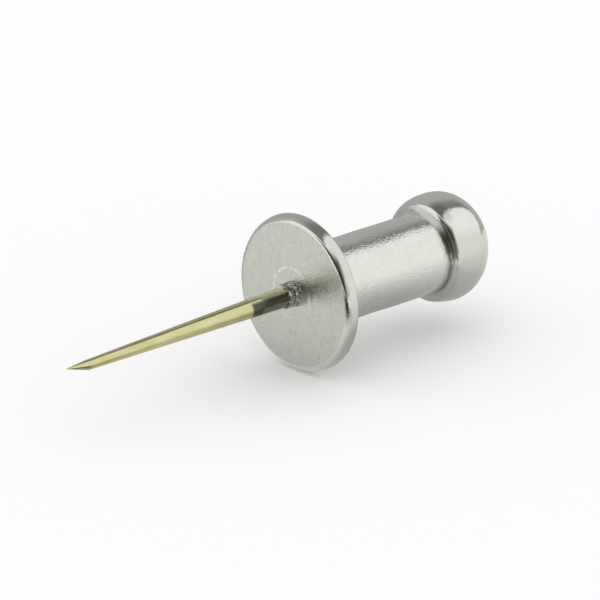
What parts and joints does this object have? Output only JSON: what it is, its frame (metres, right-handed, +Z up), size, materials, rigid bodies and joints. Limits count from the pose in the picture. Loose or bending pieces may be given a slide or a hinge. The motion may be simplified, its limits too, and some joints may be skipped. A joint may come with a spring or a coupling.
{
  "type": "push pin",
  "caption": "Push pin with a turned aluminium head, a flanged barrel and a shouldered, domed knob, staked onto a tapered steel needle that pins paper to a soft board.",
  "frame": {"origin": "centre of the flange's flat seat face, where the pin meets the board", "axes": "+X along the pin's axis from the seat face towards the knob, -X towards the needle's tip, +Z up as the pin sits in a wall board"},
  "size_m": [0.0288, 0.0085, 0.0084],
  "materials": {
    "head": "satin polished, with fine turning and tumbling marks",
    "needle": "ground bright steel with a thin brass-toned plating"
  },
  "bodies": {
    "root": {"head": "head", "needle": "needle"}
  },
  "joints": []
}
